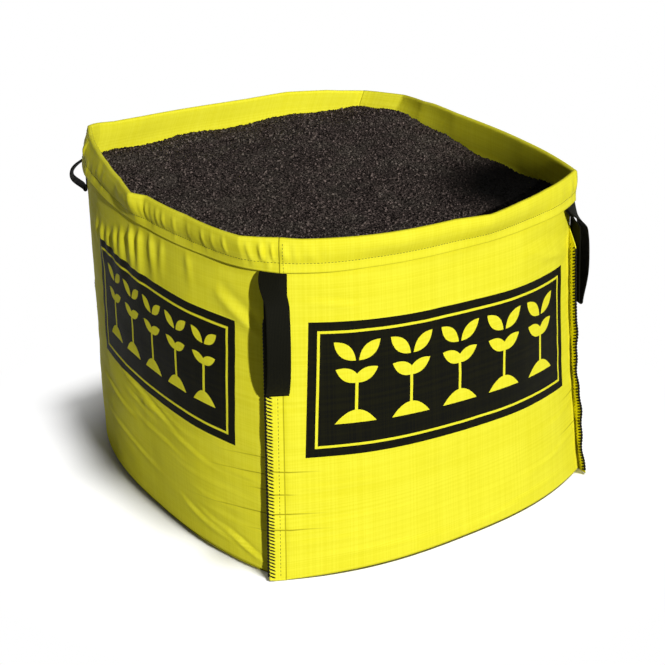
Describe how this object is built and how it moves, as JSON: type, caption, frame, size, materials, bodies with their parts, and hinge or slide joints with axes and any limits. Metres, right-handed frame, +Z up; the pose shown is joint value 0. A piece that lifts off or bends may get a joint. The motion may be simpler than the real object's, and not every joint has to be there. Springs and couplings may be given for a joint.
{
  "type": "bulk bag of topsoil",
  "caption": "Open square bulk bag of woven cloth with standing corner seams, a folded hem and webbing lifting loops, filled with loose dark topsoil.",
  "frame": {"origin": "on the floor under the middle of the bag", "axes": "+Z up, the printed front faces -Y, the printed left side faces -X"},
  "size_m": [1.0649, 1.0806, 0.8265],
  "materials": {
    "bag_cloth": "woven polypropylene tape, slightly glossy",
    "webbing": "matt black woven webbing",
    "soil": "loose, matt, fine crumbs"
  },
  "bodies": {
    "root": {"u_panel": "bag_cloth", "right_side_panel": "bag_cloth", "left_side_panel": "bag_cloth", "front_left_lifting_loop": "webbing", "front_right_lifting_loop": "webbing", "back_right_lifting_loop": "webbing", "back_left_lifting_loop": "webbing", "topsoil": "soil"}
  },
  "joints": []
}
